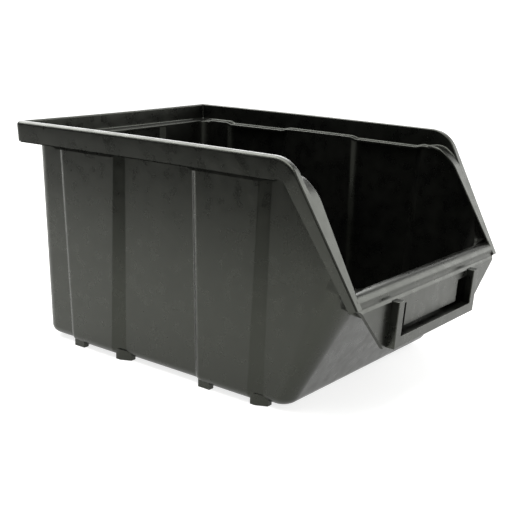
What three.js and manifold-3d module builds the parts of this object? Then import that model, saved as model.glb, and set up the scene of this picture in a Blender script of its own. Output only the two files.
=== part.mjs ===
// Open-fronted stacking bin for small parts: one plastic moulding, split here into its moulded features.
// Millimetres, +Z up. The feet stand on z = 0, the open front faces -Y and x = 0 is the plane of symmetry.
import * as THREE from "three";
import { mergeVertices } from "three/addons/utils/BufferGeometryUtils.js";
import Module from "manifold-3d";

const wasm = await Module();
wasm.setup();

// Driving dimensions
const width = 164; // over the rim at its back corners
const rimFrontHalf = 79; // half width of the rim where it turns down at the front
const backY = 117.7; // outer face of the back rim
const frontY = -117.7; // front face of the label frame
const footHeight = 2;
const rimTop = 129.2;
const rimDepth = 11.5; // height of the rim's outer face
const wall = 2;
const skirt = 1.4; // thickness of the rim's outer face
const gap = 0.3; // between neighbouring features

// Mouth: the rim turns down at the top corner and follows a slope to the lip
const slopeTopY = -75.8; // where the rim plane and the slope plane meet
const slopeEnd = { y: -113.5, z: 62.6, halfWidth: 74.4 };
const cornerRadius = 17;
const slopeAngle = Math.atan2(rimTop - slopeEnd.z, slopeTopY - slopeEnd.y);

// Body: plan sizes at its underside, and how they grow with height
const body = { halfWidth: 71.5, back: 106.3, front: -73.3, draft: 0.0227, frontLean: 0.52 };
const panelStep = 3.2; // how far the raised side panels stand out
const backPanel = { halfWidth: 29, step: 2, flank: 4 };
const cornerFront = { foot: 14, grow: 0.09 }; // the front corners open up with height
const cornerBack = 8;
const edgeRadius = 5; // between the walls and the floor
const bodyTop = rimTop - rimDepth;

// Raised side panels: y of the corners along the side, at the foot and at the rim
const panels = [
  { foot: [83.1, 79.9, 47.3, 38.9], rim: [87.3, 84.1, 41.3, 36.1] },
  { foot: [-14, -17.1, -51.1, -58.9], rim: [-12.6, -15.7, -57.5, -62.2] },
];

// Lip, apron and label frame at the front
const lip = { y: -107.3, z: 63.6, radius: 5 };
const apron = { y: slopeEnd.y, top: 62.6, bottom: 36.3, halfTop: 72, halfBottom: 45.5, lean: 0.07, thick: 2 };
const label = { half: 42.7, bar: 5.5, bottom: 36.3, sill: 41.8, top: 60.6 };
const pad = { half: 27.7, bottom: 44.3 };
const pocket = { half: 39, thick: 1.5, depth: 5, bottom: 40, top: 58.5 }; // shallow box behind the label slot

// Feet: y of the two ends of each, and how far each follows the flank inwards at its front end
const feet = [
  { back: 79.5, front: 71.7, inward: 0 },
  { back: 45.2, front: 35.7, inward: 3 },
  { back: -17.1, front: -24.9, inward: 0 },
  { back: -52.1, front: -61.5, inward: 3 },
];

const v3 = (x, y, z) => new THREE.Vector3(x, y, z);

// A solid from rings of points: ring to ring it is skinned, and the first and last ring are capped.
function loft(rings, flat) {
  const count = rings[0].length;
  const points = rings.flat();
  const outline = rings[0].map(flat);
  const caps = THREE.ShapeUtils.triangulateShape(outline, []);
  if (THREE.ShapeUtils.isClockWise(outline)) caps.forEach((face) => face.reverse());
  const faces = [];
  const last = (rings.length - 1) * count;
  for (const [a, b, c] of caps) faces.push(c, b, a, last + a, last + b, last + c);
  for (let r = 0; r < last; r += count) {
    for (let i = 0; i < count; i++) {
      const j = (i + 1) % count;
      faces.push(r + i, r + j, r + count + j, r + i, r + count + j, r + count + i);
    }
  }
  const geometry = new THREE.BufferGeometry().setFromPoints(points);
  geometry.setIndex(faces);
  return solid(geometry);
}

// A closed geometry as a manifold-3d solid, turned so that its faces point out.
function solid(geometry) {
  geometry.deleteAttribute("normal");
  geometry.deleteAttribute("uv");
  const merged = mergeVertices(geometry, 1e-4);
  const triVerts = new Uint32Array(merged.index.array);
  const make = () => new wasm.Manifold(new wasm.Mesh({
    numProp: 3,
    vertProperties: merged.attributes.position.array,
    triVerts,
  }));
  const made = make();
  if (made.volume() > 0) return made;
  for (let i = 0; i < triVerts.length; i += 3) {
    [triVerts[i + 1], triVerts[i + 2]] = [triVerts[i + 2], triVerts[i + 1]];
  }
  return make();
}

function box(x0, x1, y0, y1, z0, z1) {
  const geometry = new THREE.BoxGeometry(x1 - x0, y1 - y0, z1 - z0);
  geometry.translate((x0 + x1) / 2, (y0 + y1) / 2, (z0 + z1) / 2);
  return solid(geometry);
}

// A prism along X with an outline of [y, z] points.
function prismX(outline, x0, x1) {
  const shape = new THREE.Shape(outline.map(([y, z]) => new THREE.Vector2(y, z)));
  const geometry = new THREE.ExtrudeGeometry(shape, { depth: x1 - x0, bevelEnabled: false, curveSegments: 8 });
  geometry.rotateZ(Math.PI / 2).rotateY(Math.PI / 2).translate(x0, 0, 0);
  return solid(geometry);
}

function arc(cx, cy, radius, from, to, steps) {
  const points = [];
  for (let i = 0; i <= steps; i++) {
    const a = THREE.MathUtils.degToRad(from + ((to - from) * i) / steps);
    points.push([cx + radius * Math.cos(a), cy + radius * Math.sin(a)]);
  }
  return points;
}

// The outline of the body in plan at a height above its underside, moved in by an inset.
function bodyOutline(height, inset) {
  const t = height / (bodyTop - footHeight);
  const x = body.halfWidth + body.draft * height - inset;
  const back = body.back + body.draft * height - inset;
  const front = body.front - body.frontLean * height + inset;
  const rf = cornerFront.foot + cornerFront.grow * height - inset;
  const rb = Math.max(cornerBack - inset, 0.5);
  const mix = (a, b) => a + (b - a) * t;
  const side = [];
  for (const p of [...panels].reverse()) {
    const [b0, b1, f1, f0] = p.foot.map((y, i) => mix(y, p.rim[i]));
    side.push([x, f0], [x + panelStep, f1], [x + panelStep, b1], [x, b0]);
  }
  const p = backPanel;
  const right = [
    ...arc(x - rf, front + rf, rf, -90, 0, 8),
    ...side,
    ...arc(x - rb, back - rb, rb, 0, 90, 4),
    [p.halfWidth + p.flank, back],
    [p.halfWidth, back + p.step],
  ];
  const left = right.map(([px, py]) => [-px, py]).reverse();
  return [...right, ...left].map(([px, py]) => v3(px, py, footHeight + height));
}

// The body as a solid block whose faces are moved in by an offset; its lower edge is rounded.
function bodyBlock(offset, top = bodyTop - footHeight) {
  const rings = [];
  const r = edgeRadius - offset;
  for (const a of [0, 30, 60, 90].map(THREE.MathUtils.degToRad)) {
    rings.push(bodyOutline(offset + r * (1 - Math.cos(a)), offset + r * (1 - Math.sin(a))));
  }
  rings.push(bodyOutline(top, offset));
  return loft(rings, (q) => new THREE.Vector2(q.x, q.y));
}

// Rim section: inward distance and depth below the rim plane. The ledge inside the rim sits at ledgeDepth.
function rimSection(stripWidth, ledgeDepth, skirtDepth) {
  const bead = 4;
  return [
    [0, skirtDepth], [0, 1.6], [0.5, 0.5], [1.6, 0], [bead, 0], [bead, ledgeDepth], [stripWidth, ledgeDepth],
    [stripWidth, ledgeDepth + wall], [skirt, ledgeDepth + wall], [skirt, skirtDepth],
  ];
}
const rimLedge = { width: 9.5, depth: rimDepth - wall - 0.1 };
const stripTop = 12; // width of the sloping strip at its top corner
const stripEnd = 4.2;
const ledgeFade = 0.2; // share of the slope over which the ledge rises to the strip's face
const lipHalf = slopeEnd.halfWidth - stripEnd - 1;
const lipUnder = 59.2;

// A run of the rim: at each station a point on its outer top edge, the inward direction and the one down.
function loftRun(stations) {
  const count = stations[0].section.length;
  const flatSection = stations[0].section.map(([d, n]) => new THREE.Vector2(d, n));
  let next = 0;
  const rings = stations.map(({ at, inward, down, section }) =>
    section.map(([d, n]) => at.clone().addScaledVector(inward, d).addScaledVector(down, n)));
  return loft(rings, () => flatSection[next++ % count]);
}

const down = v3(0, 0, -1);
const straight = rimSection(rimLedge.width, rimLedge.depth, rimDepth);
const rimFrontY = -52;
const rimCorner = 5; // plan radius of the back corners, on the outer face
const rimBackY = backY - 14;

function sideRim() {
  const station = (x, y) => ({ at: v3(x, y, rimTop), inward: v3(-1, 0, 0), down, section: straight });
  return loftRun([station(rimFrontHalf, rimFrontY + gap), station(width / 2, rimBackY - gap)]);
}

function backRim() {
  const stations = [];
  const cx = width / 2 - rimCorner;
  const cy = backY - rimCorner;
  const add = (x, y, angle) => {
    const inward = v3(-Math.cos(angle), -Math.sin(angle), 0);
    stations.push({ at: v3(x, y, rimTop), inward, down, section: straight });
  };
  add(width / 2, rimBackY, 0);
  const miter = Math.SQRT2;
  const corner = (sign) => {
    const inward = v3(-sign * miter * Math.SQRT1_2, -miter * Math.SQRT1_2, 0);
    stations.push({ at: v3(sign * width / 2, backY, rimTop), inward, down, section: straight });
  };
  corner(1);
  corner(-1);
  add(-width / 2, rimBackY, Math.PI);
  const run = loftRun(stations);
  const rounding = new THREE.Shape();
  rounding.moveTo(-width / 2 - 9, rimBackY - 9);
  rounding.lineTo(width / 2 + 9, rimBackY - 9);
  rounding.lineTo(width / 2 + 9, backY + 9);
  rounding.lineTo(-width / 2 - 9, backY + 9);
  const keep = new THREE.Path();
  keep.moveTo(-width / 2, rimBackY - 5);
  keep.lineTo(width / 2, rimBackY - 5);
  keep.lineTo(width / 2, cy);
  keep.absarc(cx, cy, rimCorner, 0, Math.PI / 2);
  keep.lineTo(-cx, backY);
  keep.absarc(-cx, cy, rimCorner, Math.PI / 2, Math.PI);
  rounding.holes.push(keep);
  const trim = new THREE.ExtrudeGeometry(rounding, { depth: 40, bevelEnabled: false, curveSegments: 5 });
  trim.translate(0, 0, rimTop - 30);
  return run.subtract(solid(trim));
}

// Stations of the strip that follows the rounded top corner and the slope, down to the lip.
function mouthStations() {
  const stations = [];
  const tangent = cornerRadius * Math.tan(slopeAngle / 2);
  const centre = { y: slopeTopY + tangent, z: rimTop - cornerRadius };
  const length = Math.hypot(slopeTopY - slopeEnd.y, rimTop - slopeEnd.z) - tangent;
  const fadeLength = cornerRadius * slopeAngle + ledgeFade * length;
  const add = (y, z, angle, travelled) => {
    const s = travelled / length;
    const turn = angle / slopeAngle;
    const faded = Math.min((cornerRadius * angle + travelled) / fadeLength, 1);
    const ledge = Math.max(rimLedge.depth * (1 - faded), 0.05);
    const strip = THREE.MathUtils.lerp(THREE.MathUtils.lerp(rimLedge.width, stripTop, turn), stripEnd, s);
    const at = v3(THREE.MathUtils.lerp(rimFrontHalf, slopeEnd.halfWidth, s), y, z);
    const inwards = v3(0, Math.sin(angle), -Math.cos(angle));
    const section = rimSection(strip, ledge, THREE.MathUtils.lerp(rimDepth, 7, s));
    stations.push({ at, inward: v3(-1, 0, 0), down: inwards, ledge, section });
  };
  add(rimFrontY, rimTop, 0, 0);
  for (let i = 0; i <= 6; i++) {
    const a = (slopeAngle * i) / 6;
    add(centre.y - cornerRadius * Math.sin(a), centre.z + cornerRadius * Math.cos(a), a, 0);
  }
  for (const share of [ledgeFade / 2, ledgeFade, 1]) {
    const y = THREE.MathUtils.lerp(slopeTopY - tangent * Math.cos(slopeAngle), slopeEnd.y, share);
    const z = THREE.MathUtils.lerp(rimTop - tangent * Math.sin(slopeAngle), slopeEnd.z, share);
    add(y, z, slopeAngle, share * length);
  }
  return stations;
}

const slopeFlange = loftRun(mouthStations()).intersect(box(0, 99, slopeEnd.y, 0, slopeEnd.z - 2, 200));

// Everything above the underside of the rim's ledge and of the sloping strips.
function aboveLedge() {
  const under = mouthStations().map(({ at, down: n, ledge }) => {
    const p = at.clone().addScaledVector(n, ledge + wall + gap);
    return [p.y, p.z];
  });
  const top = under[0][1];
  return prismX([[backY + 9, 200], [backY + 9, top], ...under, [-150, under.at(-1)[1] - 40], [-150, 200]], -99, 99);
}

// The front wall leans forwards, so the line between it and the side walls leans with it.
function frontRegion(back) {
  const lean = cornerFront.grow - body.frontLean;
  const y = (z) => body.front + cornerFront.foot + lean * (z - footHeight) + back;
  return prismX([[y(0), 0], [y(140), 140], [-200, 140], [-200, 0]], -99, 99);
}

const shell = bodyBlock(0).subtract(bodyBlock(wall, bodyTop + 9)).subtract(aboveLedge());
const floorTop = footHeight + edgeRadius;
const above = box(-99, 99, -200, 200, floorTop + gap, 200);
const lipZone = box(-lipHalf - gap, lipHalf + gap, -200, lip.y + lip.radius + gap, lipUnder - gap, 200);
const frontWall = shell.intersect(above).intersect(frontRegion(0)).subtract(lipZone);
const walls = shell.intersect(above).subtract(frontRegion(gap));
const backStart = body.back - cornerBack;
const floorPan = shell.intersect(box(-99, 99, -200, 200, 0, floorTop));
const sideWall = walls.intersect(box(20, 99, -200, backStart - gap, 0, 200));
const backWall = walls.intersect(box(-99, 99, backStart, 200, 0, 200));

// Rolled grip along the top of the front wall, with a neck down to the apron.
function frontLip() {
  const roll = arc(lip.y, lip.z, lip.radius, 0, 180, 10);
  const neck = [[lip.y - lip.radius, 60.9], [apron.y + apron.thick, lipUnder], [lip.y + lip.radius, lipUnder]];
  return prismX([...roll, ...neck], -lipHalf, lipHalf);
}

// Apron: a thin trapezium that hangs from the lip and leans back towards its lower edge.
function apronPlate(halfTop, halfBottom, top, bottom, y, thick) {
  const at = (z) => y + (apron.top - z) * apron.lean;
  const ring = (dy) => [
    v3(-halfTop, at(top) + dy, top), v3(halfTop, at(top) + dy, top),
    v3(halfBottom, at(bottom) + dy, bottom), v3(-halfBottom, at(bottom) + dy, bottom),
  ];
  return loft([ring(0), ring(thick)], (q) => new THREE.Vector2(q.x, q.z));
}

function labelApron() {
  const inner = label.half - label.bar;
  const plate = apronPlate(apron.halfTop, apron.halfBottom, apron.top, apron.bottom, apron.y, apron.thick);
  const slot = box(-inner, inner, -130, -90, label.sill, label.top - 4)
    .subtract(box(-pad.half, pad.half, -140, -80, pad.bottom, 99));
  const underLip = box(-99, 99, apron.y + 4, -90, lipUnder - gap, 70);
  const rollZone = box(-99, 99, lip.y - lip.radius - gap, -80, lipUnder - gap, 99);
  const stripZone = box(-99, 99, -200, 0, slopeEnd.z - 2 - gap, 99)
    .subtract(box(-lipHalf - gap, lipHalf + gap, -210, 10, 0, 199));
  return plate.subtract(slot).subtract(underLip).subtract(rollZone).subtract(stripZone);
}

// Label frame: three bars that stand proud of the apron.
function frameBar(x0, x1, z0, z1) {
  const front = (z) => frontY + (label.top - z) * apron.lean;
  const back = (z) => apron.y + (apron.top - z) * apron.lean - gap;
  return prismX([[front(z0), z0], [back(z0), z0], [back(z1), z1], [front(z1), z1]], x0, x1);
}

// Shallow box behind the label slot: a back plate and two sides that tie it to the apron.
function pocketBack() {
  const y = apron.y + apron.thick + pocket.depth;
  return apronPlate(pocket.half, pocket.half, pocket.top, pocket.bottom, y, pocket.thick);
}

function pocketSide() {
  const front = (z) => apron.y + (apron.top - z) * apron.lean + apron.thick + gap;
  const back = (z) => front(z) + pocket.depth - 2 * gap;
  const { bottom, top, half } = pocket;
  const outline = [[front(bottom), bottom], [back(bottom), bottom], [back(top), top], [front(top), top]];
  return prismX(outline, half - pocket.thick, half);
}

// A foot follows the outside of its panel and stands below the rounded edge of the floor.
function foot({ back, front, inward }) {
  const x = body.halfWidth + panelStep - 1.2;
  const outline = [[x, back], [x, front + 6], [x - inward, front], [x - inward - 3.4, front], [x - 7, front + 3]];
  outline.push([x - 7, back]);
  const ring = (z) => outline.map(([px, py]) => v3(px, py, z));
  const block = loft([ring(0), ring(floorTop)], (q) => new THREE.Vector2(q.x, q.y));
  return block.subtract(bodyBlock(-gap));
}

const bin = new THREE.Group();
const black = { color: 0x24241f, roughness: 0.42, metalness: 0 };
const mirror = (s) => s.mirror([1, 0, 0]);

function add(name, s) {
  const mesh = s.getMesh();
  const geometry = new THREE.BufferGeometry();
  geometry.setAttribute("position", new THREE.BufferAttribute(mesh.vertProperties, 3));
  geometry.setIndex(new THREE.BufferAttribute(mesh.triVerts, 1));
  geometry.computeVertexNormals();
  const part = new THREE.Mesh(geometry, new THREE.MeshStandardMaterial(black));
  part.name = name;
  bin.add(part);
}

function addPair(name, s) {
  add(`${name}_right`, s);
  add(`${name}_left`, mirror(s));
}

add("floor_pan", floorPan);
add("front_wall", frontWall);
add("back_wall", backWall);
addPair("side_wall", sideWall);
addPair("rim", sideRim());
add("rim_back", backRim());
addPair("slope_flange", slopeFlange);
add("front_lip", frontLip());
add("label_apron", labelApron());
addPair("label_bar", frameBar(label.half - label.bar, label.half, label.sill + gap, label.top));
add("label_sill", frameBar(-label.half, label.half, label.bottom, label.sill));
add("pocket_back", pocketBack());
addPair("pocket_side", pocketSide());
feet.forEach((f, i) => addPair(`foot_${i + 1}`, foot(f)));

export default bin;
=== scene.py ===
import math
import bpy
import bmesh
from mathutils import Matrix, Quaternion, Vector


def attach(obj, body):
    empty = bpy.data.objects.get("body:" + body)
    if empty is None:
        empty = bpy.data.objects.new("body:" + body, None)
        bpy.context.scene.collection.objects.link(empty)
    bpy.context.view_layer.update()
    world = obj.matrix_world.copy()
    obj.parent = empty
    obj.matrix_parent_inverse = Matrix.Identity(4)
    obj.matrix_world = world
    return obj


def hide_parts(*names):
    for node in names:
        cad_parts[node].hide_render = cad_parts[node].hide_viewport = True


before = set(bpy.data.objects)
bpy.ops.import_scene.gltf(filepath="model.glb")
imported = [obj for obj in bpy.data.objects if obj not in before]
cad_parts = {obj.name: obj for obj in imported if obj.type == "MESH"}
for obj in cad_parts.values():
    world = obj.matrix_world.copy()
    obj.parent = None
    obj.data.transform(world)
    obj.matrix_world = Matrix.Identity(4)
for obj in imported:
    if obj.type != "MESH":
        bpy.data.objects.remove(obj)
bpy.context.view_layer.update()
print("frame loaded,", len(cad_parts), "nodes")

mm = 0.001


def lerp(a, b, t):
    return a + (b - a) * t


def smooth(t):
    t = min(max(t, 0), 1)
    return t * t * (3 - 2 * t)


# Geometry helpers, all in millimetres

# (sine, 1 - cosine) along a quarter turn, both from 0 to 1
def quarterTurn(steps):
    angles = [math.pi / 2 * k / steps for k in range(steps + 1)]
    return [(math.sin(a), 1 - math.cos(a)) for a in angles]


# Turns each corner (x, y, radius) of a closed outline into an arc of steps + 1 points
def roundedOutline(corners, steps, straight):
    longest = 0.46  # share of an edge that an arc may take, so that two arcs never meet
    points = []
    for i, (x, y, radius) in enumerate(corners):
        here = Vector((x, y))
        toBack = Vector(corners[i - 1][:2]) - here
        toNext = Vector(corners[(i + 1) % len(corners)][:2]) - here
        half = toBack.angle(toNext) / 2
        reach = min(radius / math.tan(half), toBack.length * longest, toNext.length * longest)
        radius = reach * math.tan(half)
        middleway = (toBack.normalized() + toNext.normalized()).normalized()
        middle = here + middleway * radius / math.sin(half)
        a = here + toBack.normalized() * reach - middle
        b = here + toNext.normalized() * reach - middle
        turn = a.angle(b)
        for k in range(steps + 1):
            u = k / steps
            arm = (a * math.sin((1 - u) * turn) + b * math.sin(u * turn)) / math.sin(turn)
            points.append(tuple(middle + arm))
    divided = []
    for i, (x, y) in enumerate(points):
        divided.append((x, y))
        if i % (steps + 1) == steps:  # the straight to the next corner
            nextX, nextY = points[(i + 1) % len(points)]
            shares = [k / straight for k in range(1, straight)]
            divided += [(lerp(x, nextX, share), lerp(y, nextY, share)) for share in shares]
    return divided


# Faces between rings that all hold the same number of points
def skinFaces(rings, count, start=0):
    faces = []
    for r in range(rings - 1):
        for i in range(count):
            j = (i + 1) % count
            a = start + r * count
            faces.append((a + i, a + j, a + count + j, a + count + i))
    return faces


# Points and faces of a skin over closed rings, with both ends closed
def closedSkin(rings):
    count = len(rings[0])
    points = [tuple(p) for ring in rings for p in ring]
    ends = [tuple(range(count)), tuple(range(len(points) - count, len(points)))]
    return points, skinFaces(len(rings), count) + ends


# Makes a mesh object; edges that turn by more than sharpAngle stay sharp
def makePiece(name, points, faces, material, sharpAngle=38):
    mesh = bpy.data.meshes.new(name)
    mesh.from_pydata([(x * mm, y * mm, z * mm) for x, y, z in points], [], faces)
    piece = bpy.data.objects.new(name, mesh)
    bpy.context.scene.collection.objects.link(piece)
    mesh.materials.append(material)
    cleanUp(piece, sharpAngle)
    return piece


def cleanUp(piece, sharpAngle=38):
    mesh = piece.data
    bm = bmesh.new()
    bm.from_mesh(mesh)
    bmesh.ops.remove_doubles(bm, verts=bm.verts, dist=0.002 * mm)
    bmesh.ops.recalc_face_normals(bm, faces=bm.faces)
    for face in bm.faces:
        face.smooth = True
    for edge in bm.edges:
        edge.smooth = len(edge.link_faces) == 2 and edge.calc_face_angle() < math.radians(sharpAngle)
    bm.to_mesh(mesh)
    bm.free()


def addModifier(piece, kind, **settings):
    modifier = piece.modifiers.new(kind.title(), kind)
    for key, value in settings.items():
        setattr(modifier, key, value)
    return modifier


def applyModifiers(piece):
    bpy.context.view_layer.update()
    depsgraph = bpy.context.evaluated_depsgraph_get()
    done = bpy.data.meshes.new_from_object(piece.evaluated_get(depsgraph))
    piece.modifiers.clear()
    piece.data = done


# Rounds the edges that turn by more than angle degrees
def roundEdges(piece, width, angle):
    addModifier(piece, "BEVEL", width=width * mm, segments=3, limit_method="ANGLE",
                angle_limit=math.radians(angle))
    applyModifiers(piece)
    cleanUp(piece, 60)


def cutAway(piece, cutter):
    addModifier(piece, "BOOLEAN", operation="DIFFERENCE", object=cutter, solver="EXACT")
    applyModifiers(piece)
    bpy.data.objects.remove(cutter)


def boxOf(x0, x1, y0, y1, z0, z1):
    points = [(x, y, z) for z in (z0, z1) for y in (y0, y1) for x in (x0, x1)]
    return points, [(0, 2, 3, 1), (4, 5, 7, 6), (0, 1, 5, 4), (1, 3, 7, 5), (3, 2, 6, 7), (2, 0, 4, 6)]


# Materials

def linear(hexColour):
    parts = [int(hexColour[i:i + 2], 16) / 255 for i in (1, 3, 5)]
    return tuple(c / 12.92 if c <= 0.04045 else ((c + 0.055) / 1.055) ** 2.4 for c in parts) + (1,)


def addNode(tree, kind, settings=None, links=None, **attributes):
    node = tree.nodes.new(kind)
    for key, value in attributes.items():
        setattr(node, key, value)
    for key, value in (settings or {}).items():
        node.inputs[key].default_value = value
    for key, source in (links or {}).items():
        tree.links.new(source, node.inputs[key])
    return node


plasticLook = {
    "dark": "#030303", "light": "#080807",  # regrind is never an even black
    "glint": "#faffee",  # reflections lean to a warm green
    "ior": 1.49,  # polypropylene
    "roughness": (0.24, 0.36),
    "cloudSize": 28,  # mm, slow colour drift where the melt flowed
    "sheenSize": 7,  # mm, patches of duller and shinier skin
    "grainSize": 0.9,  # mm, spark-eroded mould skin, drawn coarser than the real 0.2 mm so that it shows
    "grainDepth": 0.012,
    "waveSize": 14,  # mm, faint sink marks
    "waveDepth": 0.05,
}


# Moulded recycled polypropylene: a soft, slightly greasy black with broad highlights and a fine skin
def makePolypropylene(name, look):
    material = bpy.data.materials.new(name)
    material.use_nodes = True
    tree = material.node_tree
    tree.nodes.clear()
    place = addNode(tree, "ShaderNodeTexCoord").outputs["Object"]

    def noise(size, detail):
        settings = {"Scale": 1 / (size * mm), "Detail": detail}
        return addNode(tree, "ShaderNodeTexNoise", settings, {"Vector": place}).outputs["Fac"]

    blend = addNode(tree, "ShaderNodeMapRange", {"From Min": 0.35, "From Max": 0.65},
                    {"Value": noise(look["cloudSize"], 3.0)})
    colour = addNode(tree, "ShaderNodeMix", {"A": linear(look["dark"]), "B": linear(look["light"])},
                     {0: blend.outputs[0]}, data_type="RGBA")
    low, high = look["roughness"]
    rough = addNode(tree, "ShaderNodeMapRange",
                    {"From Min": 0.3, "From Max": 0.7, "To Min": low, "To Max": high},
                    {"Value": noise(look["sheenSize"], 4.0)})
    wave = addNode(tree, "ShaderNodeBump", {"Strength": 1.0, "Distance": look["waveDepth"] * mm},
                   {"Height": noise(look["waveSize"], 1.0)})
    grain = addNode(tree, "ShaderNodeBump", {"Strength": 1.0, "Distance": look["grainDepth"] * mm},
                    {"Height": noise(look["grainSize"], 2.0), "Normal": wave.outputs["Normal"]})
    shader = addNode(tree, "ShaderNodeBsdfPrincipled",
                     {"IOR": look["ior"], "Specular Tint": linear(look["glint"])},
                     {"Base Color": colour.outputs["Result"], "Roughness": rough.outputs[0],
                      "Normal": grain.outputs["Normal"]})
    addNode(tree, "ShaderNodeOutputMaterial", links={"Surface": shader.outputs[0]})
    return material


polypropylene = makePolypropylene("mouldedRecycledPolypropylene", plasticLook)
print("materials made")

# Sizes that the body and the rim share; z is height, the open front faces -y

bodySize = {
    "halfWidth": 71.5, "back": 106.3, "front": -73.3,  # at the underside
    "draft": 0.0227, "frontLean": 0.52,  # growth per mm of height
    "wall": 2.0, "underside": 2.0, "edgeRadius": 5.0,
    "frontRadius": 14.0, "frontRadiusGrowth": 0.09, "backRadius": 8.0, "leastRadius": 0.8,
    "panelStep": 3.2, "panelFrontRadius": 2.0, "panelRadius": 4.6, "panelFootRadius": 2.3,
    "backPanelHalf": 29.0, "backPanelFlank": 4.0, "backPanelStep": 2.0, "backPanelRadius": 1.5,
    "crown": 0.6,  # height of the walls' rounded top edge
    "headroom": 1.05,  # highest share of the body's height at which a wall's end is looked for
    "tuck": 1.0,  # how deep the walls end under the rim's surface
}
# y of a raised side panel's corners, at the foot and at the rim
sidePanels = [
    ((-58.9, -51.1, -17.1, -14.0), (-62.2, -57.5, -15.7, -12.6)),
    ((38.9, 47.3, 79.9, 83.1), (36.1, 41.3, 84.1, 87.3)),
]
# The front wall ends inside the rolled lip, and its curved corners stop under the skirt of the strip
frontTop = {
    "from": -84.0, "straight": 65.5, "straightHalf": 46.0,
    "corner": 68.0, "cornerStart": 48.0, "cornerRise": 9.0, "drop": 8.0, "dropWidth": 1.5,
}
bodySteps = {"corner": 10, "straight": 14, "edge": 6, "rows": 10, "halvings": 30}
rimSize = {
    "top": 129.2, "depth": 11.5, "backY": 117.9, "backHalf": 82.0, "frontHalf": 79.0,
    "bead": 4.3, "outerRound": 2.4, "innerRound": 0.9, "planRadius": 4.0, "leastRadius": 0.8,
    "backStraight": 72.0,  # half the straight part of the back
    "skirt": 1.4, "taper": 0.6, "chamfer": 0.3,  # the skirt closes in downwards
    "ledgeDepth": 9.9, "ledgeWidth": 7.4, "ledgeThick": 1.5, "leastDepth": 0.02,
    "ledgeRound": 0.6, "fillet": 0.8,
    "ledgeInside": 72.1, "backLedge": 11.0,  # how far in the ledge reaches, so that it meets the walls
    "panelDrop": 1.1,  # the ledge is lower over a raised panel
    "bow": 0.35, "backSag": 0.3,
}
slopeSize = {
    "topY": -75.8, "endY": -113.5, "endZ": 62.6, "endHalf": 74.4, "radius": 17.0,
    "stripTop": 12.0, "stripEnd": 4.2, "startDepth": 8.6, "endDepth": 5.1, "edgeRound": 0.9,
    "fade": 0.2,  # share of the slope over which the ledge rises into the strip
}
slopeRun = slopeSize["topY"] - slopeSize["endY"]
slopeDrop = rimSize["top"] - slopeSize["endZ"]
slopeAngle = math.atan2(slopeDrop, slopeRun)
arcTangent = slopeSize["radius"] * math.tan(slopeAngle / 2)
arcLength = slopeSize["radius"] * slopeAngle
slopeLength = math.hypot(slopeDrop, slopeRun) - arcTangent
mouthLength = arcLength + slopeLength
bodyHeight = rimSize["top"] - rimSize["depth"] - bodySize["underside"]


# Side view of the rim's top edge: point, tilt and share of the slope at a length from the start of the arc
def mouthPoint(travel):
    radius = slopeSize["radius"]
    angle = min(travel, arcLength) / radius
    y = slopeSize["topY"] + arcTangent - radius * math.sin(angle)
    z = rimSize["top"] - radius + radius * math.cos(angle)
    along = max(travel - arcLength, 0)
    return y - along * math.cos(angle), z - along * math.sin(angle), angle, along / slopeLength


def ledgeDepthAt(travel):
    fadeEnd = arcLength + slopeSize["fade"] * slopeLength
    return rimSize["ledgeDepth"] * (1 - smooth(travel / fadeEnd))


# Side view of the line at which the walls end, inside the thickness of the ledge or the strip
def curveUnderMouth(steps=60):
    curve = []
    for i in range(steps + 1):
        travel = mouthLength * i / steps
        y, z, angle, _ = mouthPoint(travel)
        depth = ledgeDepthAt(travel) + bodySize["tuck"]
        curve.append((y + depth * math.sin(angle), z - depth * math.cos(angle)))
    return sorted(curve)


underCurve = curveUnderMouth()


def wallTopAt(y):
    if y >= underCurve[-1][0]:
        return underCurve[-1][1]
    for (y0, z0), (y1, z1) in zip(underCurve, underCurve[1:]):
        if y0 <= y <= y1:
            return lerp(z0, z1, (y - y0) / max(y1 - y0, 1e-6))
    (y0, z0), (y1, z1) = underCurve[0], underCurve[6]  # straight on below the slope's end
    return z0 + (y - y0) * (z1 - z0) / (y1 - y0)


# Body: floor and four walls in one skin

# Plan of the body at a height above its underside
def bodyOutline(height, inset):
    s = bodySize
    x = s["halfWidth"] + s["draft"] * height - inset
    back = s["back"] + s["draft"] * height - inset
    front = s["front"] - s["frontLean"] * height + inset
    right = [(x, front, s["frontRadius"] + s["frontRadiusGrowth"] * height - inset)]
    for foot, rim in sidePanels:
        y0, y1, y2, y3 = (lerp(a, b, height / bodyHeight) for a, b in zip(foot, rim))
        out = x + s["panelStep"]
        right += [(x, y0, s["panelFrontRadius"]), (out, y1, s["panelFrontRadius"]),
                  (out, y2, s["panelRadius"]), (x, y3, s["panelFootRadius"])]
    right += [(x, back, max(s["backRadius"] - inset, s["leastRadius"])),
              (s["backPanelHalf"] + s["backPanelFlank"], back, s["backPanelRadius"]),
              (s["backPanelHalf"], back + s["backPanelStep"], s["backPanelRadius"])]
    left = [(-px, py, r) for px, py, r in reversed(right)]
    return roundedOutline(right + left, bodySteps["corner"], bodySteps["straight"])


# Height at which the wall at x, y ends
def wallLimit(x, y, height, inset):
    f = frontTop
    if y >= f["from"]:
        return wallTopAt(y)
    if x <= f["straightHalf"]:
        return f["straight"]
    inward = bodySize["halfWidth"] + bodySize["draft"] * height - inset - x
    least = lerp(f["straight"], f["corner"], smooth((x - f["cornerStart"]) / f["cornerRise"]))
    return max(wallTopAt(y) - f["drop"] * smooth(inward / f["dropWidth"]), least)


# Height above the underside at which the column of wall from foot to head ends, by halving
def columnTop(foot, head, inset):
    low, high = 0, bodyHeight * bodySize["headroom"]
    for _ in range(bodySteps["halvings"]):
        height = (low + high) / 2
        x, y = (lerp(a, b, height / bodyHeight) for a, b in zip(foot, head))
        if bodySize["underside"] + height < wallLimit(abs(x), y, height, inset):
            low = height
        else:
            high = height
    return low


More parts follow.
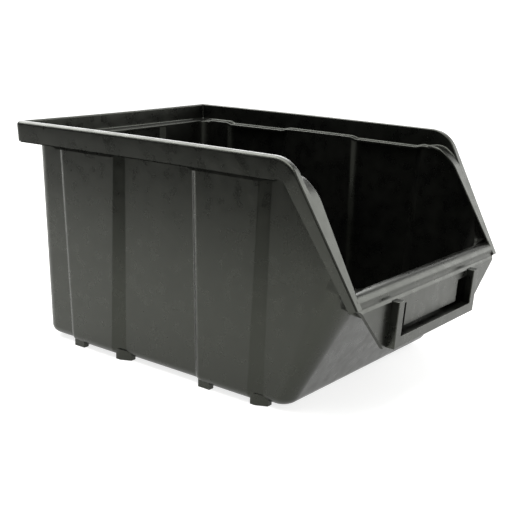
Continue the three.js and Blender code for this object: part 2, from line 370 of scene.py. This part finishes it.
# Rings of one skin, from the floor round the bottom edge and up the walls
def bodyRings(inset):
    underside, rows = bodySize["underside"], bodySteps["rows"]
    radius = bodySize["edgeRadius"] - inset
    rings = []
    for sine, rise in quarterTurn(bodySteps["edge"]):
        height = inset + radius * rise
        ring = bodyOutline(height, inset + radius * (1 - sine))
        rings.append([(x, y, underside + height) for x, y in ring])
    foot, head = bodyOutline(0, inset), bodyOutline(bodyHeight, inset)
    columns = [(a, b, columnTop(a, b, inset)) for a, b in zip(foot, head)]
    for k in range(1, rows + 1):
        ring = []
        for (x0, y0), (x1, y1), top in columns:
            height = lerp(inset + radius, top, k / rows)
            share = height / bodyHeight
            ring.append((lerp(x0, x1, share), lerp(y0, y1, share), underside + height))
        rings.append(ring)
    return rings


# Ring halfway between the outer and the inner skin, along the walls' rounded top edge
def crownRing(outerRing, innerRing):
    ring = []
    for outerPoint, innerPoint in zip(outerRing, innerRing):
        x, y, z = ((a + b) / 2 for a, b in zip(outerPoint, innerPoint))
        ring.append((x, y, z + bodySize["crown"]))
    return ring


# Points and faces of the outer skin, the inner skin and the top edge that joins them
def bodySkin(outerRings, innerRings, crown):
    count = len(crown)
    innerStart = len(outerRings) * count
    crownStart = innerStart + len(innerRings) * count
    points = [p for ring in outerRings + innerRings + [crown] for p in ring]
    faces = skinFaces(len(outerRings), count) + skinFaces(len(innerRings), count, innerStart)
    faces += [tuple(range(count)), tuple(range(innerStart, innerStart + count))]
    for i in range(count):
        j = (i + 1) % count
        faces.append((innerStart - count + i, innerStart - count + j, crownStart + j, crownStart + i))
        faces.append((crownStart + i, crownStart + j, crownStart - count + j, crownStart - count + i))
    return points, faces


outerRings = bodyRings(0)
innerRings = bodyRings(bodySize["wall"])
crown = crownRing(outerRings[-1], innerRings[-1])
body = makePiece("binBody", *bodySkin(outerRings, innerRings, crown), polypropylene)

# Rounded caps on the low front corners, out to the flat cheeks that carry the strips
capSize = {"start": 46.0, "reach": 72.0, "thick": 1.6, "bulge": 2.0, "bulgeWidth": 10.0, "steps": 6}
cheekSize = {
    "inside": 71.4, "outside": 72.7, "back": -84.0, "front": -109.5, "bottom": 66.0, "backBottom": 72.0,
    "rise": 0.4, "steps": 12,
}


def makeCap(side, name):
    c = capSize
    front = [p for p in crown[-bodySteps["straight"]:] if p[0] > c["start"]]
    rings = []
    for x, y, z in front + crown[:bodySteps["corner"] + 1]:
        reach = max(c["reach"], x + 0.1)
        bulge = c["bulge"] * min((reach - x) / c["bulgeWidth"], 1)
        ring = [(lerp(x, reach, k / c["steps"]), y, z + bulge * sine)
                for k, (sine, _) in enumerate(quarterTurn(c["steps"]))]
        ring += [(reach, y, z - c["thick"]), (x, y, z - c["thick"])]
        rings.append([(side * px, py, pz) for px, py, pz in ring])
    return makePiece(name, *closedSkin(rings), polypropylene)


def makeCheek(side, name):
    c = cheekSize
    ys = [lerp(c["back"], c["front"], k / c["steps"]) for k in range(c["steps"] + 1)]
    outline = [(y, wallTopAt(y) + c["rise"]) for y in ys]
    outline += [(c["front"], c["bottom"]), (c["back"], c["backBottom"])]
    rings = [[(side * x, y, z) for y, z in outline] for x in (c["inside"], c["outside"])]
    return makePiece(name, *closedSkin(rings), polypropylene)


sides = ((1, "right"), (-1, "left"))
corners = [makeCap(side, f"cornerCap_{word}") for side, word in sides]
corners += [makeCheek(side, f"cornerCheek_{word}") for side, word in sides]
print("body made")

# Rim: one flanged band from the left end of the lip, round the back and down to the right end

rimSteps = {"lowSlope": 5, "highSlope": 22, "side": 90, "corner": 8, "back": 8}  # the slope counts by halves


# Section as (inward, down) pairs: skirt, bead, ledge and underneath; at depth 0 the ledge is the strip
def rimSection(strip, ledge, depth, outerRound):
    s = rimSize
    bead, skirt, taper, chamfer, fillet, edge = (
        s[key] for key in ("bead", "skirt", "taper", "chamfer", "fillet", "ledgeRound"))
    inner = min(s["innerRound"], ledge / 2)
    top = max(ledge, s["leastDepth"])
    under = top + s["ledgeThick"]
    section = [(taper, depth), (taper / 2, (depth + outerRound) / 2)]
    section += [(outerRound * rise, outerRound * (1 - sine)) for sine, rise in quarterTurn(6)]
    section += [(bead - inner + inner * sine, inner * rise) for sine, rise in quarterTurn(4)]
    section += [(bead + inner * rise, top - inner + inner * sine) for sine, rise in quarterTurn(3)]
    section += [(strip - edge + edge * sine, top + edge * rise) for sine, rise in quarterTurn(3)]
    section += [(strip, under), (skirt + fillet, under), (skirt, under + fillet)]
    section += [(skirt + taper, depth - chamfer), (skirt + taper - chamfer, depth)]
    return section


# 1 over a raised side panel, 0 between panels
def isPanel(y):
    inside = 0
    for _, (y0, y1, y2, y3) in sidePanels:
        inside = max(inside, smooth((y - y0) / (y1 - y0)) * smooth((y3 - y) / (y3 - y2)))
    return inside


def slopeRings():
    s, m = rimSize, slopeSize
    low, high = rimSteps["lowSlope"], rimSteps["highSlope"]
    travels = [mouthLength * (1 - 0.5 * i / low) for i in range(low + 1)]
    travels += [mouthLength * 0.5 * (1 - i / high) for i in range(1, high + 1)]
    rings = []
    for travel in travels:
        y, z, angle, share = mouthPoint(travel)
        turn = angle / slopeAngle
        strip = lerp(lerp(s["ledgeWidth"], m["stripTop"], turn), m["stripEnd"], share)
        depth = lerp(lerp(s["depth"], m["startDepth"], turn), m["endDepth"], share)
        half = lerp(s["frontHalf"], m["endHalf"], share)
        outerRound = lerp(s["outerRound"], m["edgeRound"], turn)
        section = rimSection(strip, ledgeDepthAt(travel), depth, outerRound)
        rings.append([(half - d, max(y + n * math.sin(angle), m["endY"]), z - n * math.cos(angle))
                      for d, n in section])  # the lower end is cut off upright
    return rings


def sideRings():
    s, steps = rimSize, rimSteps["side"]
    startY, endY = mouthPoint(0)[0], s["backY"] - s["planRadius"]
    rings = []
    for i in range(1, steps):
        y = lerp(startY, endY, i / steps)
        half = lerp(s["frontHalf"], s["backHalf"], i / steps)
        top = s["top"] + s["bow"] * math.sin(math.pi * i / steps)
        width = max(s["ledgeWidth"], half - s["ledgeInside"])
        ledge = s["ledgeDepth"] + s["panelDrop"] * isPanel(y)
        section = rimSection(width, ledge, s["depth"], s["outerRound"])
        rings.append([(half - d, y, top - n) for d, n in section])
    return rings


def backRings():
    s, steps = rimSize, rimSteps["corner"]
    rings = []
    for k, (sine, fall) in enumerate(quarterTurn(steps)):
        width = lerp(s["backHalf"] - s["ledgeInside"], s["backLedge"], k / steps)
        section = rimSection(width, s["ledgeDepth"], s["depth"], s["outerRound"])
        ring = []
        for d, n in section:
            r = max(s["planRadius"] - d, s["leastRadius"])
            ring.append((s["backHalf"] - d - r * fall, s["backY"] - d - r + r * sine, s["top"] - n))
        rings.append(ring)
    steps = rimSteps["back"]
    for k in range(1, steps + 1):
        x = lerp(s["backStraight"], 0, k / steps)
        top = s["top"] - s["backSag"] * math.sin(math.pi / 2 * k / steps)
        rings.append([(x, s["backY"] - d, top - n) for d, n in section])
    return rings


rightRings = slopeRings() + sideRings() + backRings()
leftRings = [[(-x, y, z) for x, y, z in ring] for ring in reversed(rightRings[:-1])]
rim = makePiece("rim", *closedSkin(rightRings + leftRings), polypropylene)
print("rim made")

# Front: rolled lip, neck and the apron that hangs from it

lipSize = {
    "y": -107.3, "z": 63.6, "radius": 5.0, "half": 71.5,
    "rollFrom": -30, "rollTo": 196, "rollStep": 9,  # degrees
    "root": 57.2, "neck": 60.2, "neckBulge": 0.35, "neckRows": (0.35, 0.7),
}
apronSize = {
    "y": -113.5, "top": 62.6, "bottom": 36.3, "lean": 0.07, "thick": 2.0,
    "halfTop": 72.0, "halfBottom": 45.5, "shoulder": 1.5,  # the sides taper from just below the top
    "faceRows": (58, 52, 46, 40), "backRows": (46, 52, 57),  # heights of the rows of points
    "edge": 0.8,  # the rounding along the lower edge
}
frontColumns = 24


def apronFace(z):
    return apronSize["y"] + (apronSize["top"] - z) * apronSize["lean"]


# Side view as (y, z): round the roll, over the neck, down the face and up the back
def frontProfile():
    l, a = lipSize, apronSize
    roll = [math.radians(t) for t in range(l["rollFrom"], l["rollTo"], l["rollStep"])]
    profile = [(l["y"] + l["radius"] * math.cos(t), l["z"] + l["radius"] * math.sin(t)) for t in roll]
    rollEnd = profile[-1]
    for t in l["neckRows"]:
        bulge = l["neckBulge"] * math.sin(math.pi * t)
        profile.append((lerp(rollEnd[0], apronFace(l["neck"]), t) + bulge, lerp(rollEnd[1], l["neck"], t)))
    profile += [(apronFace(z), z) for z in (l["neck"],) + a["faceRows"] + (a["bottom"] + a["edge"],)]
    face, bottom = apronFace(a["bottom"]), a["bottom"]
    profile += [(face + 0.25, bottom + 0.2), (face + a["edge"], bottom)]
    profile += [(apronFace(z) + a["thick"], z) for z in (bottom,) + a["backRows"]]
    profile.append((l["y"], l["root"]))
    return profile


def frontHalfAt(z):
    a = apronSize
    if z >= a["top"] - a["shoulder"]:
        return lipSize["half"]
    taper = (z - a["bottom"]) / (a["top"] - a["bottom"])
    return min(lipSize["half"], lerp(a["halfBottom"], a["halfTop"], taper))


profile = frontProfile()
rings = []
for k in range(frontColumns + 1):
    across = -1 + 2 * k / frontColumns
    rings.append([(across * frontHalfAt(z), y, z) for y, z in profile])
apron = makePiece("lipAndApron", *closedSkin(rings), polypropylene)

# The slot for a label's card: a U round the flat pad
labelSize = {
    "half": 42.7, "bar": 5.5, "front": -117.6, "bottom": 36.3, "sill": 41.8, "top": 60.6,
    "padHalf": 27.7, "padBottom": 44.3, "slotTop": 56.6, "sink": 1.2, "edge": 0.45,
    "cutFront": -125, "cutBack": -100,  # the slots are cut right through
}
innerHalf = labelSize["half"] - labelSize["bar"]
slotCuts = [
    (-innerHalf, -labelSize["padHalf"], labelSize["slotTop"]),
    (labelSize["padHalf"], innerHalf, labelSize["slotTop"]),
    (-innerHalf, innerHalf, labelSize["padBottom"]),
]
for x0, x1, top in slotCuts:
    cutter = boxOf(x0, x1, labelSize["cutFront"], labelSize["cutBack"], labelSize["sill"] - 1, top)
    cutAway(apron, makePiece("slotCutter", *cutter, polypropylene))
cleanUp(apron)
print("apron made")


# Label frame: a U of two bars and a sill, open at the top
def makeLabelFrame(name):
    s = labelSize
    half, top = s["half"], s["top"]
    outline = [(-half, top), (-half, s["bottom"]), (half, s["bottom"]), (half, top),
               (innerHalf, top), (innerHalf, s["sill"]), (-innerHalf, s["sill"]), (-innerHalf, top)]
    points = [(x, s["front"] + (top - z) * apronSize["lean"], z) for x, z in outline]
    points += [(x, apronFace(z) + s["sink"], z) for x, z in outline]
    faces = [(0, 1, 6, 7), (1, 2, 5, 6), (2, 3, 4, 5), (8, 15, 14, 9), (9, 14, 13, 10), (10, 13, 12, 11)]
    faces += skinFaces(2, 8)
    labelFrame = makePiece(name, points, faces, polypropylene, 20)
    roundEdges(labelFrame, s["edge"], 40)
    return labelFrame


labelFrame = makeLabelFrame("labelFrame")

# Shallow box behind the slot, open at the top and the front, that leans with the apron
pocketSize = {"half": 39.0, "thick": 1.5, "depth": 5.0, "bottom": 38.2, "top": 58.5, "sink": 0.4}


def makePocket(name):
    p = pocketSize
    narrow = p["half"] - p["thick"]
    outside = boxOf(-p["half"], p["half"], 0, p["depth"] + p["thick"], p["bottom"], p["top"])
    inside = boxOf(-narrow, narrow, -2, p["depth"], p["bottom"] + p["thick"], p["top"] + 5)
    pocket = makePiece(name, *outside, polypropylene)
    cutAway(pocket, makePiece("pocketCutter", *inside, polypropylene))
    for vertex in pocket.data.vertices:
        vertex.co.y += (apronFace(vertex.co.z / mm) + apronSize["thick"] - p["sink"]) * mm
    cleanUp(pocket)
    return pocket


pocket = makePocket("slotPocket")
print("label frame made")

# Feet

footSize = {
    "x": 73.5, "depth": 7.0, "toe": 3.4, "hookLength": 6, "chamfer": 3, "round": 0.3,
    "top": 3.7, "rise": 0.4,  # the sloping top stays inside the floor
}
feet = {  # y of the back and front ends, and how far the front end turns inwards
    "foot_1": (79.5, 71.7, 0),
    "foot_2": (45.2, 35.7, 3),
    "foot_3": (-17.1, -24.9, 0),
    "foot_4": (-52.1, -61.5, 3),
}


def makeFoot(side, name, back, front, inward):
    f = footSize
    inside = f["x"] - f["depth"]
    hook = f["hookLength"] if inward else 0.01  # a plain foot's two front corners all but meet
    outline = [(f["x"], back), (f["x"], front + hook), (f["x"] - inward, front),
               (f["x"] - inward - f["toe"], front), (inside, front + f["chamfer"]), (inside, back)]
    bottomRing = [(side * x, y, 0) for x, y in outline]
    topRing = [(side * x, y, f["top"] + f["rise"] * (x - inside)) for x, y in outline]
    foot = makePiece(name, *closedSkin([bottomRing, topRing]), polypropylene, 20)
    roundEdges(foot, f["round"], 30)
    return foot


footPieces = {}
for name, (back, front, inward) in feet.items():
    for side, word in sides:
        footPieces[f"{name}_{word}"] = makeFoot(side, f"{name}_{word}_moulded", back, front, inward)
print("feet made")

# Which piece stands for which node

standsFor = [
    (body, ["floor_pan", "front_wall", "back_wall", "side_wall_right", "side_wall_left"]),
    (rim, ["rim_right", "rim_left", "rim_back", "slope_flange_right", "slope_flange_left"]),
    (apron, ["front_lip", "label_apron"]),
    (labelFrame, ["label_bar_right", "label_bar_left", "label_sill"]),
    (pocket, ["pocket_back", "pocket_side_right", "pocket_side_left"]),
]
standsFor += [(foot, [node]) for node, foot in footPieces.items()]
standsFor += [(corner, []) for corner in corners]
for piece, nodes in standsFor:
    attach(piece, "root")
    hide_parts(*nodes)
    addModifier(piece, "WEIGHTED_NORMAL", keep_sharp=True, weight=50)

# Room: a pale glowing floor, a bright backdrop, five soft lights and a dark sheet that only reflections see,
# a painted dark reflection on the bin

studio = {
    "floorColour": "#a4a4a2", "floorGlow": 0.78, "floorRoughness": 0.9, "floorReach": 40000,
    "ahead": (0.79, 0.61, 0.0),  # level, away from the camera
    "backdrop": 3.0, "darkSide": 0.05, "overhead": 0.35, "horizon": 0.95,  # brightness of the surround
    "backdropFade": (0.65, 0.93),  # cosine of the angle away from straight ahead
    "overheadFade": (0.15, 0.7), "horizonFade": (0.02, 0.04),  # sine of the height above the horizon
    "lights": {  # watts, size, position in metres, aim
        "keyLight": (10.0, 0.9, (0.85, -0.72, 0.53), (0, 0, 0.08)),
        "topLight": (9.0, 0.7, (-0.12, -0.05, 0.85), (-0.1, -0.05, 0)),
        "rimLight": (6.0, 1.2, (0.65, 0.6, 0.85), (0, 0, 0.1)),
        "backLight": (16.0, 0.8, (-0.1, 0.8, 1.0), (0, 0, 0.1)),
        "fillLight": (2.5, 0.5, (-0.78, -0.95, 0.68), (0, 0, 0.08)),
    },
}
# Place of the sheet that paints dark reflections onto the bin's walls and rib flanks
darkReflectionSheetSize = {  # it thickens towards the left, between two distances in metres from the bin's middle
    "towards": (-1.0, -0.12, 0.0), "from": 0.21, "to": 0.44,
    "left": -3000, "right": -100, "front": -3000, "back": 1500, "height": 0.5,
}


def levelSheet(x0, x1, y0, y1, z):
    return [(x0, y0, z), (x1, y0, z), (x1, y1, z), (x0, y1, z)], [(0, 1, 2, 3)]


# Matt studio paper, lit from inside so that shadows on it stay faint
def makePaper(name):
    paper = bpy.data.materials.new(name)
    paper.use_nodes = True
    shader = paper.node_tree.nodes["Principled BSDF"]
    shader.inputs["Base Color"].default_value = linear(studio["floorColour"])
    shader.inputs["Roughness"].default_value = studio["floorRoughness"]
    shader.inputs["Emission Color"].default_value = (1, 1, 1, 1)
    shader.inputs["Emission Strength"].default_value = studio["floorGlow"]
    return paper


# Painted dark reflection: a black sheet without a sheen, seen only in reflections, that fades out towards
# the bin and darkens the reflections on the bin's walls
def makeDarkReflectionSheet(name):
    darkReflectionSheet = bpy.data.materials.new(name)
    darkReflectionSheet.use_nodes = True
    tree = darkReflectionSheet.node_tree
    shader = tree.nodes["Principled BSDF"]
    shader.inputs["Base Color"].default_value = (0, 0, 0, 1)
    shader.inputs["Specular IOR Level"].default_value = 0
    # Where the painted dark reflection sets in, by distance from the bin's middle towards the left
    spot = addNode(tree, "ShaderNodeNewGeometry").outputs["Position"]
    distance = addNode(tree, "ShaderNodeVectorMath", {1: darkReflectionSheetSize["towards"]}, {0: spot},
                       operation="DOT_PRODUCT")
    cover = addNode(tree, "ShaderNodeMapRange",
                    {"From Min": darkReflectionSheetSize["from"], "From Max": darkReflectionSheetSize["to"]},
                    {"Value": distance.outputs["Value"]}, interpolation_type="SMOOTHSTEP")
    tree.links.new(cover.outputs[0], shader.inputs["Alpha"])
    return darkReflectionSheet


reach = studio["floorReach"]
floor = makePiece("floor", *levelSheet(-reach, reach, -reach, reach, 0), makePaper("paleStudioPaper"))
darkReflectionSheetPlace = [darkReflectionSheetSize[key] for key in ("left", "right", "front", "back", "height")]
darkReflectionSheet = makePiece("darkReflectionSheet", *levelSheet(*darkReflectionSheetPlace), makeDarkReflectionSheet("paintedDarkReflection"))
# The sheet is hidden from the camera, from diffuse light and from shadows, so it only paints dark
# reflections onto the bin
darkReflectionSheet.visible_camera = False
darkReflectionSheet.visible_diffuse = False
darkReflectionSheet.visible_shadow = False


# Surround: bright ahead, dim overhead, nearly dark behind, with a thin pale band where the floor ends
def makeSurround(name):
    world = bpy.data.worlds.new(name)
    world.use_nodes = True
    sky = world.node_tree
    direction = addNode(sky, "ShaderNodeTexCoord").outputs["Generated"]
    height = addNode(sky, "ShaderNodeSeparateXYZ", links={0: direction}).outputs["Z"]
    facing = addNode(sky, "ShaderNodeVectorMath", {1: studio["ahead"]}, {0: direction},
                     operation="DOT_PRODUCT")

    def band(source, fade, low, high, curve):
        settings = {"From Min": fade[0], "From Max": fade[1], "To Min": low, "To Max": high}
        node = addNode(sky, "ShaderNodeMapRange", settings, {"Value": source}, interpolation_type=curve)
        return node.outputs[0]

    s = studio
    ahead = band(facing.outputs["Value"], s["backdropFade"], s["darkSide"], s["backdrop"], "SMOOTHSTEP")
    above = band(height, s["overheadFade"], 0.0, s["overhead"], "SMOOTHSTEP")
    horizon = band(height, s["horizonFade"], s["horizon"], 0.0, "LINEAR")
    upper = addNode(sky, "ShaderNodeMath", links={0: above, 1: horizon}, operation="ADD")
    glow = addNode(sky, "ShaderNodeMath", links={0: ahead, 1: upper.outputs[0]}, operation="ADD")
    sky.nodes["Background"].inputs["Color"].default_value = (1, 1, 1, 1)
    sky.links.new(glow.outputs[0], sky.nodes["Background"].inputs["Strength"])
    return world


bpy.context.scene.world = makeSurround("studioSurround")
bpy.context.scene.view_settings.view_transform = "Standard"

for name, (power, size, place, aim) in studio["lights"].items():
    light = bpy.data.lights.new(name, "AREA")
    light.energy = power
    light.size = size
    lamp = bpy.data.objects.new(name, light)
    lamp.location = place
    lamp.rotation_mode = "QUATERNION"
    lamp.rotation_quaternion = (Vector(aim) - Vector(place)).to_track_quat("-Z", "Y")
    bpy.context.scene.collection.objects.link(lamp)

# Camera

shot = {
    "place": (-0.4329, -0.33265, 0.1954),  # metres
    "azimuth": -52.192, "elevation": 14.470, "roll": 1.486,  # degrees
    "lens": 67.71, "sensor": 36, "nearest": 0.01, "farthest": 50,
}
camera = bpy.data.objects.new("camera", bpy.data.cameras.new("camera"))
bpy.context.scene.collection.objects.link(camera)
camera.data.lens = shot["lens"]
camera.data.sensor_width = shot["sensor"]
camera.data.clip_start = shot["nearest"]
camera.data.clip_end = shot["farthest"]
camera.location = shot["place"]
azimuth = math.radians(shot["azimuth"])
elevation = math.radians(shot["elevation"])
level = math.cos(elevation)
towardsBin = Vector((-math.sin(azimuth) * level, math.cos(azimuth) * level, -math.sin(elevation)))
camera.rotation_mode = "QUATERNION"
camera.rotation_quaternion = towardsBin.to_track_quat("-Z", "Y")
camera.rotation_quaternion @= Quaternion((0, 0, 1), math.radians(shot["roll"]))
bpy.context.scene.camera = camera
print("studio and camera made")
